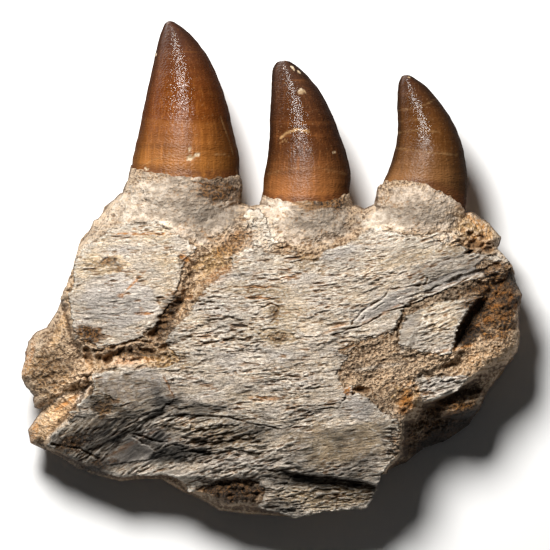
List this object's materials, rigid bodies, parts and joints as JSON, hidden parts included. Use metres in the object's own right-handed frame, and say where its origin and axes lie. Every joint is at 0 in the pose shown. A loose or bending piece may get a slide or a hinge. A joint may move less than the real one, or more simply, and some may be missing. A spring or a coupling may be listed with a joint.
{
  "type": "fossil mosasaur jaw",
  "caption": "Broken length of fossil mosasaur jaw with curved brown teeth, bedded in sandy rock; lies flat on its back for display.",
  "frame": {"origin": "centre of the object's bounds in plan, on the flat back that it lies on", "axes": "+Z out of the flat back towards the viewer, +Y along the teeth from root to tip, +X along the jaw towards its front end"},
  "size_m": [0.1674, 0.1664, 0.0453],
  "materials": {
    "sandy_rock": "rough granular sandy phosphate rock, brown to beige",
    "fossil_bone": "matt fibrous fossil bone, light grey to cream with rust stains",
    "root_cement": "matt cream to sandy fossil tooth root",
    "rear_tooth_crown_enamel": "glossy fossil enamel, dark brown tip to amber base",
    "middle_tooth_crown_enamel": "glossy fossil enamel, dark brown",
    "front_tooth_crown_enamel": "glossy fossil enamel, brown with tan growth bands"
  },
  "bodies": {
    "root": {"rock_matrix": "sandy_rock", "jaw_bone_upper_plate": "fossil_bone", "jaw_bone_lower_plate": "fossil_bone", "jaw_bone_rear_piece": "fossil_bone", "jaw_bone_front_piece": "fossil_bone", "jaw_bone_splinter": "fossil_bone", "rear_tooth_root": "root_cement", "middle_tooth_root": "root_cement", "front_tooth_root": "root_cement", "rear_tooth_crown": "rear_tooth_crown_enamel", "middle_tooth_crown": "middle_tooth_crown_enamel", "front_tooth_crown": "front_tooth_crown_enamel"}
  },
  "joints": []
}
